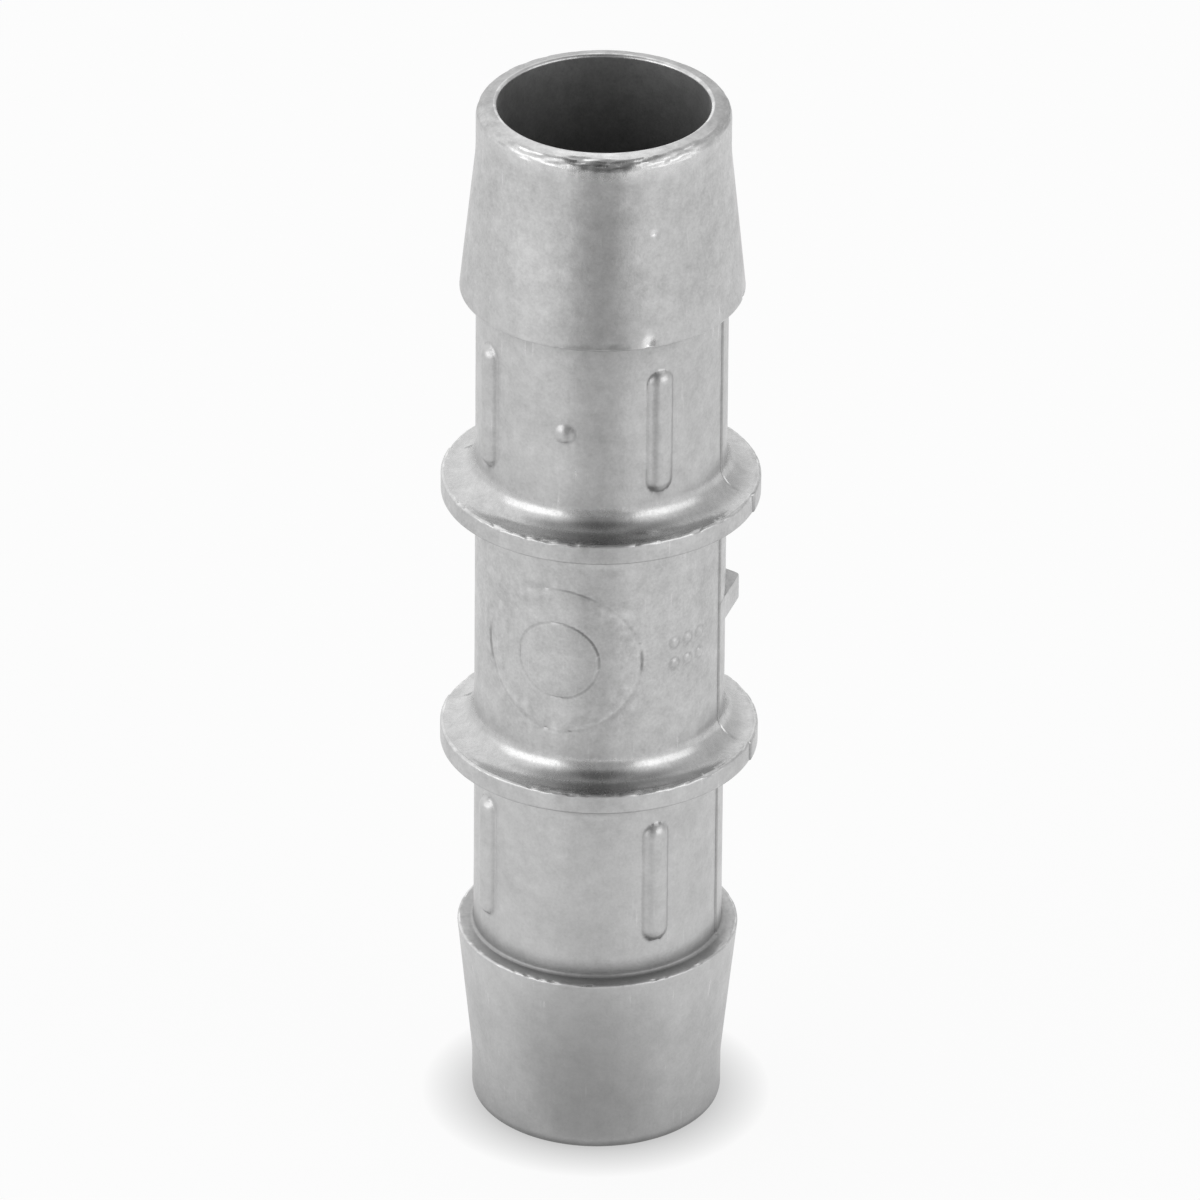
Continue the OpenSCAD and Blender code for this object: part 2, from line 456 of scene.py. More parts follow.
def spread(low, high, zones, elsewhere):
    """Places from low to high, both ends included, spaced as the zones say."""
    fine = np.linspace(low, high, SPREAD_POINTS)
    middles = (fine[1:] + fine[:-1]) / 2
    counted = np.abs(np.diff(fine)) / spacing_at(middles, zones, elsewhere)
    counted = np.concatenate([[0], np.cumsum(counted)])
    steps = max(1, round(counted[-1]))
    return np.interp(np.linspace(0, counted[-1], steps + 1), counted, fine)


def smooth_max(a, b, blend):
    """The greater of two radii, with the crease between them filled over a width of blend."""
    near = np.maximum(blend - np.abs(a - b), 0) / blend
    return np.maximum(a, b) + near * near * blend / 4


def noise_field(points, size, seed):
    """Smooth noise from about -1 to 1 at each point, with features of the given size."""
    offset = Vector([seed * step for step in SEED_STEPS])
    return np.array([noise.noise(Vector(p) / size + offset) for p in points])


def patches_of(waves, contrast, level):
    """Noise made into patches, from 0 to 1."""
    return np.clip(waves * contrast + level, 0, 1)


# Rows: the section's points, from the lower mouth round the outside to the upper mouth

def corner_arc(before, corner, after, radius, steps):
    """Points of the arc that rounds a corner, from one tangent point to the other."""
    to_before = unit(before - corner)
    to_after = unit(after - corner)
    half_angle = math.acos(to_before @ to_after) / 2
    centre = corner + unit(to_before + to_after) * radius / math.sin(half_angle)
    start = corner + to_before * radius / math.tan(half_angle) - centre
    end = corner + to_after * radius / math.tan(half_angle) - centre
    first = math.atan2(start[1], start[0])
    sweep = (math.atan2(end[1], end[0]) - first + math.pi) % (2 * math.pi) - math.pi
    angles = [first + sweep * i / steps for i in range(steps + 1)]
    return [centre + radius * np.array([math.cos(a), math.sin(a)]) for a in angles]


def straight_points(start, end, cuts):
    """Points between two arcs, both ends left out, with exact rows at the cuts."""
    run = end - start
    length = np.linalg.norm(run)
    level = abs(run[1]) < TOLERANCE
    bore = max(start[0], end[0]) < BORE_R + MOUTH_RADIUS
    stops = [0.0, length]
    if not bore and length > 4 * CORNER_ROW:
        stops += [CORNER_ROW, length - CORNER_ROW]
    if not bore and not level:
        shares = [(cut - start[1]) / run[1] for cut in cuts]
        stops += [share * length for share in shares if 0 < share < 1]
    stops.sort()
    zones, spacing = ((), BORE_SPACING) if bore else (ROW_ZONES, ROW_SPACING)
    places = []
    for low, high in zip(stops[:-1], stops[1:]):
        if level:
            places.extend(spread(low, high, (), FACE_SPACING)[1:])
            continue
        low_height = start[1] + run[1] * low / length
        high_height = start[1] + run[1] * high / length
        heights = spread(low_height, high_height, zones, spacing)
        places.extend((heights[1:] - start[1]) / run[1] * length)
    return [start + run * place / length for place in places[:-1]]


def section_rows():
    """Radius, height and sharpness of each row round the closed section."""
    lower_half = [(r, -z, radius, steps, sharp) for r, z, radius, steps, sharp in UPPER_HALF[::-1]]
    corners = lower_half + list(UPPER_HALF)
    at = [np.array(c[:2], float) for c in corners]
    arcs = []
    for i, (_, _, radius, steps, _) in enumerate(corners):
        arcs.append(corner_arc(at[i - 1], at[i], at[(i + 1) % len(at)], radius, steps))
    cuts = [GATE_MID_Z - GATE_HALF_HEIGHT + step for step in GATE_EDGE_ROWS]
    cuts += [GATE_MID_Z + GATE_HALF_HEIGHT - step for step in GATE_EDGE_ROWS]
    rows = []
    for i, corner in enumerate(corners):
        rows.extend((p[0], p[1], float(corner[4])) for p in arcs[i])
        following = arcs[(i + 1) % len(arcs)][0]
        rows.extend((p[0], p[1], 0.0) for p in straight_points(arcs[i][-1], following, cuts))
    return np.array(rows).T


def column_azimuths():
    """Azimuth of each column in degrees, with a close pair at each of the mould's two seams."""
    stops = [-180]
    for seam in (-SEAM_AZIMUTH, SEAM_AZIMUTH):
        stops += [seam - SEAM_HALF_GAP, seam + SEAM_HALF_GAP]
    stops.append(180)
    azimuths = [stops[0]]
    for low, high in zip(stops[:-1], stops[1:]):
        azimuths.extend(spread(low, high, COLUMN_ZONES, COLUMN_SPACING)[1:])
    return np.array(azimuths[:-1])


# Relief over the grid of rows and columns

def crest_radius(half_width, crest):
    """Radius of the rod or ball that stands out by its crest over that half width."""
    return (half_width ** 2 + crest ** 2) / (2 * crest)


def rod_radius(azimuth, off_height, centre_r, rod_r):
    """Radius at which a round rod or ball around centre_r is met, or 0 where it isn't."""
    across = centre_r * np.sin(np.radians(azimuth))
    left = rod_r ** 2 - off_height ** 2 - across ** 2
    met = (left > 0) & (np.abs(azimuth) < NEAR_TURN)
    outward = centre_r * np.cos(np.radians(azimuth))
    return np.where(met, outward + np.sqrt(np.maximum(left, 0)), 0)


def with_ribs(radius, azimuth, height):
    """The surface with a round-ended rib at each rib azimuth on both seats."""
    rod_r = crest_radius(RIB_HALF_WIDTH, RIB_HEIGHT)
    for middle in (-SEAT_MID_Z, SEAT_MID_Z):
        off = np.maximum(np.abs(height - middle) - RIB_HALF_STRAIGHT, 0)
        for rib in RIB_AZIMUTHS:
            rod = rod_radius(azimuth - rib, off, SEAT_R + RIB_HEIGHT - rod_r, rod_r)
            radius = np.where(rod > 0, smooth_max(radius, rod, RIB_BLEND), radius)
    return radius


def with_pips(radius, azimuth, height):
    """The surface with a shallow dome at each pip."""
    for pip_azimuth, pip_height, half_width, crest, blend in PIPS:
        ball_r = crest_radius(half_width, crest)
        off = height - pip_height
        dome = rod_radius(azimuth - pip_azimuth, off, SEAT_R + crest - ball_r, ball_r)
        radius = np.where(dome > 0, smooth_max(radius, dome, blend), radius)
    return radius


def with_gate(radius, azimuth, height):
    """The surface with the gate fin, which runs back from the seam at +X."""
    turn = np.radians(np.clip(azimuth - SEAM_AZIMUTH, 0, NEAR_TURN))
    face = GATE_FACE_X / np.cos(turn)
    rear = GATE_LENGTH + GATE_FACE_X * GATE_REAR_SLOPE
    rear = rear / (np.sin(turn) + GATE_REAR_SLOPE * np.cos(turn))
    inset = np.abs(height - GATE_MID_Z) - GATE_HALF_HEIGHT
    eased = GATE_EDGE_DROP * ramp(inset, -GATE_EDGE_REACH, 0) ** 2
    fin = -smooth_max(-face, -rear, GATE_REAR_BLEND) - eased
    there = (azimuth > SEAM_AZIMUTH) & (azimuth < GATE_LAST_AZIMUTH) & (inset < TOLERANCE)
    return np.where(there & (fin > radius), fin, radius)


def on_body_front(y, height):
    """Whether each point is on the front of the body, between the collars' sweeps."""
    return (y < 0) & (np.abs(height) < COLLAR_IN_Z - COLLAR_FILLET)


def joint_line_relief(x, y, height):
    """Depth of the two round joint lines on the front of the body."""
    depth = np.zeros_like(x)
    for line_r in INSERT_RS:
        off = np.abs(np.hypot(x - INSERT_X, height) - line_r) / (LINE_WIDTH / 2)
        depth = np.maximum(depth, LINE_DEPTH * ramp(off, *LINE_FADE))
    return np.where(on_body_front(y, height), depth, 0)


def nick_relief(azimuth, height, radius):
    """Depth of the dents and nicks on the outside."""
    depth = np.zeros_like(radius)
    for at_azimuth, at_height, at_radius, half_width, half_height, deep in NICKS:
        across = np.radians(turn_from(azimuth, at_azimuth)) * radius / half_width
        along = np.hypot(height - at_height, radius - at_radius) / half_height
        depth = np.maximum(depth, deep * ramp(np.hypot(across, along), *NICK_FADE))
    return depth


def hammered_ring(x, y, height):
    """The uneven ring inside the larger joint line, from 0 to 1."""
    from_ring = np.abs(np.hypot(x - INSERT_X, height) - HAMMERED_R)
    return np.where(y < 0, ramp(from_ring, *HAMMERED_FADE), 0)


def lip_streaks(azimuth, height, radius):
    """Where the upper lip is rubbed: long shallow streaks round it, from 0 to 1."""
    across, along = STREAK_SCALE
    level = (height - radius) / across
    turn = np.radians(azimuth)
    ring = LAND_R / along
    places = np.stack([ring * np.sin(turn), ring * np.cos(turn), level], -1).reshape(-1, 3)
    streaks = patches_of(noise_field(places, *STREAK_NOISE), *STREAK_PATCHES)
    lip_start = HALF_LENGTH - LIP_RADIUS
    above_land = ramp(height, lip_start, lip_start + STREAK_RISE)
    rim_start = LAND_R - LIP_RADIUS - STREAK_INSET
    outside_rim = ramp(radius, rim_start, rim_start + STREAK_SPREAD)
    return streaks.reshape(radius.shape) * above_land * outside_rim


class Casting:
    """The casting's surface in millimetres: rows round the section, columns round the axis."""

    def __init__(self):
        self.row_r, self.row_z, self.row_sharp = section_rows()
        columns = column_azimuths()
        self.shape = (len(self.row_r), len(columns))
        self.radius = self.by_row(self.row_r)
        self.height = self.by_row(self.row_z)
        self.azimuth = np.repeat(columns[None, :], self.shape[0], 0)
        self.off_view = np.abs(turn_from(self.azimuth, VIEW_AZIMUTH))

        # The outward normal of the section at each row
        along_r = np.roll(self.row_r, -1) - np.roll(self.row_r, 1)
        along_z = np.roll(self.row_z, -1) - np.roll(self.row_z, 1)
        length = np.hypot(along_r, along_z)
        self.normal_r = along_z / length
        self.normal_z = -along_r / length

        inner_row = self.row_r < BORE_R + MOUTH_RADIUS + TOLERANCE
        self.bore_row = self.row_r < BORE_R + TOLERANCE
        self.skin_row = (np.abs(self.row_z) < SHOULDER_Z - TOLERANCE) & ~inner_row
        self.on_skin = self.by_row(self.skin_row)
        self.outside = self.by_row(~inner_row)

        self.add_marks()
        self.ragged = self.noise(*RAGGED_NOISE)
        self.add_wear()
        self.rub_rim()

    def by_row(self, values):
        """The rows' values, repeated over the columns."""
        return np.repeat(values[:, None], self.shape[1], 1)

    def noise(self, size, seed):
        return noise_field(self.places, size, seed).reshape(self.shape)

    def add_marks(self):
        """Raises the ribs, the pips and the gate fin, and sinks the joint lines."""
        raised = with_ribs(self.radius, self.azimuth, self.height)
        raised = with_pips(raised, self.azimuth, self.height)
        raised = with_gate(raised, self.azimuth, self.height)
        self.radius = np.where(self.on_skin, raised, self.radius)
        self.x = self.radius * np.sin(np.radians(self.azimuth))
        self.y = -self.radius * np.cos(np.radians(self.azimuth))
        self.places = np.stack([self.x.ravel(), self.y.ravel(), self.height.ravel()], 1)
        lines = joint_line_relief(self.x, self.y, self.height)
        self.radius = self.radius - np.where(self.on_skin, lines, 0)

    def add_wear(self):
        """Sinks the surface where it is uneven or worn. Nothing rises, so it stays in the CAD."""
        sunk = np.zeros(self.shape)
        for seed, (size, deep) in enumerate(WAVES, 1):
            sunk += deep * (0.5 - 0.5 * self.noise(size, seed))
        self.edge = self.by_row(self.row_sharp * ramp(self.normal_z, *EDGE_FACING_FADE))
        self.worn = patches_of(self.noise(*EDGE_WEAR_NOISE), *EDGE_WEAR_PATCHES)
        self.nicks = nick_relief(self.azimuth, self.height, self.radius)
        streaks = lip_streaks(self.azimuth, self.height, self.radius)
        self.streaks = np.where(self.outside, streaks, 0)
        hammered = hammered_ring(self.x, self.y, self.height)
        hammered = hammered * (0.5 + 0.5 * self.noise(*HAMMERED_NOISE))
        sunk = sunk + EDGE_WEAR_DEPTH * self.edge * self.worn
        sunk += self.nicks + STREAK_DEPTH * self.streaks
        sunk += HAMMERED_DEPTH * np.where(self.on_skin, hammered, 0)
        sunk = np.where(self.outside, sunk, 0)
        self.radius = self.radius - sunk * self.by_row(self.normal_r)
        self.height = self.height - sunk * self.by_row(self.normal_z)

    def rub_rim(self):
        """Rubs the upper rim to a nearly flat ring, which ends in a soft edge above the lip."""
        rim = HALF_LENGTH - RIM_DROP + (RIM_R - self.radius) * math.tan(math.radians(RIM_TILT))
        rim += RIM_WAVE * self.noise(*RIM_NOISE)
        on_rim = self.outside & (self.radius > BORE_R + MOUTH_RADIUS)
        on_rim &= self.height > HALF_LENGTH - 2 * RIM_DROP
        self.height = np.where(on_rim, np.minimum(self.height, rim), self.height)

    def points(self):
        """Each point in metres, with the sideways step between the mould's halves."""
        side = np.where(np.abs(self.azimuth) < SEAM_AZIMUTH, -1, 1)
        step = np.where(self.on_skin, side * MOULD_STEP / 2, 0)
        x = self.radius * np.sin(np.radians(self.azimuth)) + step
        y = -self.radius * np.cos(np.radians(self.azimuth))
        z = self.height + HALF_LENGTH
        return np.stack([x, y, z], -1).reshape(-1, 3) * MM

    def quads(self):
        index = np.arange(self.radius.size).reshape(self.shape)
        right = np.roll(index, -1, 1)
        above = np.roll(index, -1, 0)
        above_right = np.roll(right, -1, 0)
        return np.stack([index, right, above_right, above], -1).reshape(-1, 4)


# Masks over the surface, which the material reads as attributes. Several of them paint light and
# shade. It counts them from 0 to 1, and the marks from -1 to 1.

def edge_wear_and_highlight_mask(casting):
    """Bright worn edges and nicks. On the edges that face up the brightening is also a painted
    highlight.
    """
    edges = casting.edge * (EDGE_WEAR_LEAST + (1 - EDGE_WEAR_LEAST) * casting.worn)
    return np.maximum(edges, ramp(casting.nicks, 0, NICK_BRIGHT_DEPTH))


def bore_shade_mask(casting):
    """Painted shade in the bore, which grows with depth and towards one side."""
    even, on_side, deep_down = BORE_DARK
    turn = np.abs(turn_from(casting.azimuth, BORE_DARK_AZIMUTH))
    side = ramp(turn, BORE_DARK_HALF_TURN, 0)
    deep = ramp(HALF_LENGTH - casting.height, 0, BORE_DARK_DEPTH)
    return casting.by_row(casting.bore_row) * (even + on_side * side + deep_down * deep)


def dull_and_shade_mask(casting):
    """The lower barb, darker towards its end as painted shade, and a little rougher."""
    return np.where(casting.outside, ramp(-casting.height, SHOULDER_Z, HALF_LENGTH), 0)


def seam_mask(casting):
    """Grime along the mould's seams, faint on the collars' sweeps and away from the gate."""
    on_sweep = casting.row_r > SEAT_R + SEAM_SWEEP_MARGIN
    on_sweep &= casting.row_r < COLLAR_R - SEAM_SWEEP_MARGIN
    strength = np.where(on_sweep, SEAM_GRIME_ON_SWEEP, SEAM_GRIME)[:, None]
    strength = strength * np.where(casting.azimuth < 0, SEAM_FAR_SHARE, 1)
    from_seam = np.abs(np.abs(casting.azimuth) - SEAM_AZIMUTH)
    return np.where(casting.on_skin, strength * ramp(from_seam, SEAM_GRIME_WIDTH, 0), 0)


def crease_shade_mask(casting):
    """Painted shade: dark lines at the foot of each rib and pip."""
    feet = [(0, SEAT_MID_Z, PIP_R, 0, PIP_CREASE)]
    feet += [(rib, middle, RIB_HALF_WIDTH, RIB_HALF_STRAIGHT, RIB_CREASE)
             for rib in RIB_AZIMUTHS for middle in (-SEAT_MID_Z, SEAT_MID_Z)]
    feet += [(azimuth, height, CAVITY_PIP_R, 0, CAVITY_PIP_CREASE)
             for azimuth, height in CAVITY_PIP_PLACES]
    mask = np.zeros(casting.shape)
    for at_azimuth, middle, half_width, half_straight, strength in feet:
        across = np.radians(turn_from(casting.azimuth, at_azimuth)) * SEAT_R
        along = np.maximum(np.abs(casting.height - middle) - half_straight, 0)
        off = np.abs(np.hypot(across, along) - half_width)
        mask = np.maximum(mask, strength * ramp(off, CREASE_WIDTH, 0))
    return np.where(casting.on_skin, mask, 0)


def shoulder_shade(casting):
    """Painted shade in the corners at the two shoulders, and on the lower one's flat top."""
    out = (casting.radius - SEAT_R) / CORNER_REACH[0]
    along = (np.abs(casting.height) - SHOULDER_Z) / CORNER_REACH[1]
    facing = 1 - CORNER_TURN_LOSS * ramp(casting.off_view, *CORNER_TURN)
    share = np.where(casting.height > 0, UPPER_CORNER_SHARE, 1)
    corner = ramp(np.hypot(out, along), 1, 0) ** CORNER_POWER * facing * share
    shelf_row = (np.abs(casting.row_z + SHOULDER_Z) < TOLERANCE) & (casting.row_r > SEAT_R)
    left, right = SHELF_SHADE
    across = ramp(casting.azimuth - VIEW_AZIMUTH, -SHELF_HALF_TURN, SHELF_HALF_TURN)
    shelf = np.where(shelf_row[:, None], left + (right - left) * across, 0)
    return np.maximum(corner, shelf)


def under_rim_shade(casting):
    """Painted shade: a dark line along each collar's lower rim."""
    off = np.minimum(np.abs(casting.height - COLLAR_IN_Z), np.abs(casting.height + COLLAR_OUT_Z))
    near_rim = casting.radius > COLLAR_R - UNDER_RIM_WIDTH
    return UNDER_RIM_SHADE * np.where(near_rim, ramp(off, *UNDER_RIM_FADE), 0)


def end_shade(casting):
    """Painted shade at the foot, and on the sides of the upper rim."""
    above_foot = casting.height + HALF_LENGTH
    foot = (FOOT_HEIGHT - above_foot) / FOOT_FADE + FOOT_RAGGED * casting.ragged
    foot = FOOT_SHADE * np.clip(foot, 0, 1)
    foot = np.where(above_foot < FOOT_HEIGHT + FOOT_MARGIN, foot, 0)
    rim_side = RIM_SIDE_SHADE * ramp(casting.off_view, *RIM_SIDE_TURN)
    return np.where(casting.height > HALF_LENGTH - RIM_SIDE_BAND, rim_side, foot)


def corner_shade_mask(casting):
    """Painted shade in the corners, under the rims and at both ends."""
    between = np.maximum(shoulder_shade(casting), under_rim_shade(casting))
    on_barb = np.abs(casting.height) >= SHOULDER_Z + BARB_MARGIN
    return np.where(casting.outside, np.where(on_barb, end_shade(casting), between), 0)


def lip_wear_and_highlight_mask(casting):
    """The rubbed upper lip, lighter and smoother, with a painted highlight that is brightest on the
    side towards the camera.
    """
    front = 1 - LIP_TURN_LOSS * ramp(casting.off_view, *LIP_TURN)
    on_lip = casting.outside & (casting.height > HALF_LENGTH - LIP_BAND)
    return np.where(on_lip, (1 - STREAK_TONE * casting.streaks) * front, 0)


def spots(casting):
    """How much lighter or darker the spots are. Most of them are painted highlights and shade."""
    mask = np.zeros(casting.shape)
    for at_azimuth, at_height, at_radius, half_width, half_height, change in SPOTS:
        across = np.radians(turn_from(casting.azimuth, at_azimuth)) * casting.radius / half_width
        outward = (casting.radius - at_radius) * SPOT_RADIUS_SHARE
        along = np.hypot(casting.height - at_height, outward) / half_height
        off = np.hypot(across, along)
        there = np.clip(SPOT_REACH - off + SPOT_RAGGED * casting.ragged, 0, 1)
        there = np.where(off < SPOT_LIMIT, there, 0)
        mask = np.where(np.abs(change) * there > np.abs(mask), change * there, mask)
    return np.where(casting.outside, mask, 0)


def gate_top_shade(casting):
    """The fin's upper face, which is darkened as painted shade."""
    low, high = GATE_TOP_BAND
    off = casting.height - (GATE_MID_Z + GATE_HALF_HEIGHT)
    there = (off > low) & (off < high) & (casting.radius > SEAT_R - GATE_TOP_INSET)
    there &= (casting.azimuth > SEAM_AZIMUTH) & (casting.azimuth < GATE_TOP_END)
    return there.astype(float)


def marks_mask(casting):
    """The spots and the fin's upper face, which paint light and shade, and the hammered ring."""
    hammered = hammered_ring(casting.x, casting.y, casting.height) * casting.ragged
    hammered = HAMMERED_TONE * np.where(casting.on_skin, hammered, 0)
    return spots(casting) - GATE_TOP_TONE * gate_top_shade(casting) + hammered


def line_grime_and_shade_mask(casting):
    """How dark the round joint lines are: grime, with painted shade heavier on some arcs."""
    mask = np.zeros(casting.shape)
    from_middle = np.hypot(casting.x - INSERT_X, casting.height)
    direction = np.degrees(np.arctan2(casting.height, casting.x - INSERT_X))
    for line_r, middle, half_spread, strength in LINE_GRIME_AND_SHADE:
        off = np.abs(turn_from(direction, middle)) / half_spread
        near = np.abs(from_middle - line_r) < LINE_GRIME_AND_SHADE_REACH
        mask = np.maximum(mask, np.where(near, strength * ramp(off, *LINE_GRIME_AND_SHADE_FADE), 0))
    return np.where(casting.on_skin & on_body_front(casting.y, casting.height), mask, 0)


def sweep_mask(casting):
    """The collars' upper sweeps, which are the smoothest part of the skin."""
    from_seat, from_rim = SWEEP_MARGINS
    sweep = (casting.row_r > SEAT_R + from_seat) & (casting.row_r < COLLAR_R - from_rim)
    sweep &= casting.skin_row & (casting.normal_z > SWEEP_FACING)
    return casting.by_row(sweep).astype(float)


def grain_level(casting):
    return np.interp(casting.height, GRAIN_HEIGHTS, GRAIN_LEVELS)


MASKS = {
    "edge_wear_and_highlight": edge_wear_and_highlight_mask,
    "bore": bore_shade_mask,
    "dull_and_shade": dull_and_shade_mask,
    "seam": seam_mask,
    "crease": crease_shade_mask,
    "corner": corner_shade_mask,
    "lip": lip_wear_and_highlight_mask,
    "marks": marks_mask,
    "line_grime_and_shade": line_grime_and_shade_mask,
    "sweep": sweep_mask,
    "grain_level": grain_level,
}


def build_coupler():
    """The coupler's mesh, with the masks as its attributes."""
    casting = Casting()
    quads = casting.quads()
    mesh = bpy.data.meshes.new("coupler_cast")
    mesh.from_pydata(casting.points().tolist(), [], quads.tolist())
    mesh.polygons.foreach_set("use_smooth", np.ones(len(quads), bool))
    for name, mask in MASKS.items():
        attribute = mesh.attributes.new(name, "FLOAT", "POINT")
        attribute.data.foreach_set("value", mask(casting).ravel().astype(np.float32))
    mesh.validate()
    mesh.set_sharp_from_angle(angle=math.radians(SHARP_ANGLE))
    mesh.update()
    return mesh


# Materials

class Nodes:
    """An emptied node tree, with short calls to add and join nodes."""

    def __init__(self, tree):
        self.tree = tree
        self.tree.nodes.clear()

    def add(self, kind, inputs=None, **settings):
        node = self.tree.nodes.new(kind)
        for key, value in settings.items():
            setattr(node, key, value)
        for key, value in (inputs or {}).items():
            if isinstance(value, bpy.types.NodeSocket):
                self.tree.links.new(value, node.inputs[key])
            else:
                node.inputs[key].default_value = value
        return node

    def maths(self, operation, first, second=0.0, third=0.0):
        node = self.add("ShaderNodeMath", {0: first, 1: second, 2: third}, operation=operation)
        return node.outputs[0]

    def vector(self, operation, first, second=(0, 0, 0)):
        """A vector from one or two others."""
        node = self.add("ShaderNodeVectorMath", {0: first, 1: second}, operation=operation)
        return node.outputs["Vector"]

    def measure(self, operation, first, second=(0, 0, 0)):
        """A number from one or two vectors."""
        node = self.add("ShaderNodeVectorMath", {0: first, 1: second}, operation=operation)
        return node.outputs["Value"]

    def ranged(self, value, low, high, to_low, to_high):
        node = self.add("ShaderNodeMapRange", {"Value": value, "From Min": low, "From Max": high,
                                               "To Min": to_low, "To Max": to_high})
        return node.outputs["Result"]

    def noise(self, coordinates, scale, detail, roughness):
        node = self.add("ShaderNodeTexNoise", {"Vector": coordinates, "Scale": scale,
                                               "Detail": detail, "Roughness": roughness})
        return node.outputs["Fac"]

    def attribute(self, name):
        return self.add("ShaderNodeAttribute", attribute_name=name).outputs["Fac"]

    def place(self, kind):
        return self.add("ShaderNodeTexCoord").outputs[kind]


def new_material(name):
    """A material and its empty node tree."""
    material = bpy.data.materials.new(name)
    material.use_nodes = True
    return material, Nodes(material.node_tree)


def joint_line_mask(nodes, place):
    """The two round joint lines as thin crisp rings, from 0 to 1."""
    dark, clean = LINE_DARK
    middle = ((INSERT_X - MOULD_STEP / 2) * MM, 0, HALF_LENGTH * MM)
    flat = nodes.vector("MULTIPLY", nodes.vector("SUBTRACT", place, middle), (1, 0, 1))
    from_middle = nodes.measure("LENGTH", flat)
    rings = []
    for line_r in INSERT_RS:
        off = nodes.maths("ABSOLUTE", nodes.maths("SUBTRACT", from_middle, line_r * MM))
        rings.append(nodes.ranged(off, dark * MM, clean * MM, 1.0, 0.0))
    return nodes.maths("MAXIMUM", rings[0], rings[1])


def scratch_mask(nodes, place, patches):
    """Fine upright scratches, which come in patches, from 0 to 1."""
    stretched = nodes.vector("MULTIPLY", place, SCRATCH_STRETCH)
    scratches = nodes.ranged(nodes.noise(stretched, *SCRATCHES), *SCRATCH_SPAN, 0.0, 1.0)
    return nodes.maths("MULTIPLY", scratches, nodes.ranged(patches, *SCRATCHED_SPAN, 0.0, 1.0))


def metal_tone(nodes, place, masks, patches, speckle, scratches):
    """The metal's grey, with its mottle, its bright wear, its grime, and its painted highlights and
    shade.
    """
    mottle = nodes.noise(place, *MOTTLE)
    line = nodes.maths("MULTIPLY", joint_line_mask(nodes, place), masks["line_grime_and_shade"])
    tone = nodes.ranged(patches, *NOISE_SPAN, *TONE_RANGE)
    uneven = nodes.maths("ADD", nodes.ranged(mottle, *NOISE_SPAN, -MOTTLE_TONE, MOTTLE_TONE),
                         nodes.ranged(speckle, *SPECKLE_SPAN, -SPECKLE_TONE, SPECKLE_TONE))
    tone = nodes.maths("MULTIPLY_ADD", uneven, masks["grain_level"], tone)
    for name, added in TONE_ADDED:
        tone = nodes.maths("MULTIPLY_ADD", masks[name], added, tone)
    tone = nodes.maths("MULTIPLY_ADD", scratches, SCRATCH_TONE, tone)
    for name, first, last in TONE_FACTORS:
        tone = nodes.maths("MULTIPLY", tone, nodes.ranged(masks[name], 0, 1, first, last))
    tone = nodes.maths("MULTIPLY", tone, nodes.ranged(masks["marks"], -1, 1, *MARKS_FACTORS))
    return nodes.maths("MULTIPLY", tone, nodes.ranged(line, 0, 1, 1, LINE_FACTOR))


def metal_roughness(nodes, masks, patches, speckle, scratches):
    rough = nodes.ranged(patches, *NOISE_SPAN, *ROUGH_RANGE)
    uneven = nodes.ranged(speckle, *SPECKLE_SPAN, SPECKLE_ROUGH, -SPECKLE_ROUGH)
    rough = nodes.maths("ADD", rough, uneven)
    rough = nodes.maths("MULTIPLY_ADD", scratches, SCRATCH_ROUGH, rough)
    for name, added in ROUGH_ADDED:
        rough = nodes.maths("MULTIPLY_ADD", masks[name], added, rough)
    return rough


def metal_relief(nodes, place, masks, speckle):
    """The fine relief of the cast skin, fainter on the smooth sweeps."""
    relief = nodes.maths("MULTIPLY_ADD", speckle, SPECKLE_RELIEF, nodes.noise(place, *DIMPLES))
    relief = nodes.maths("MULTIPLY_ADD", nodes.noise(place, *GRAIN), GRAIN_RELIEF, relief)
    relief = nodes.maths("MULTIPLY", relief, nodes.ranged(masks["sweep"], 0, 1, 1, SWEEP_RELIEF))
    bump = nodes.add("ShaderNodeBump", {"Height": relief, "Strength": BUMP_STRENGTH,
                                        "Distance": BUMP_DISTANCE})
    return bump.outputs[0]


def cast_steel():
    """Tumbled cast steel: a fine grain, faint patches and polished edges, with painted highlights on
    the lip and the edges that face up, and painted shade in the bore, corners and creases and at the
    foot.
    """
    material, nodes = new_material("cast_steel")
    place = nodes.place("Object")
    masks = {name: nodes.attribute(name) for name in MASKS}
    patches = nodes.noise(place, *PATCHES)
    speckle = nodes.noise(place, *SPECKLE)
    scratches = scratch_mask(nodes, place, patches)
    tone = metal_tone(nodes, place, masks, patches, speckle, scratches)
    rough = metal_roughness(nodes, masks, patches, speckle, scratches)
    relief = metal_relief(nodes, place, masks, speckle)
    colour = nodes.add("ShaderNodeCombineColor", {"Red": tone, "Green": tone, "Blue": tone})
    shader = nodes.add("ShaderNodeBsdfPrincipled", {"Base Color": colour.outputs[0], "Metallic": 1.0,
                                                    "Roughness": rough, "Normal": relief})
    nodes.add("ShaderNodeOutputMaterial", {"Surface": shader.outputs[0]})
    return material


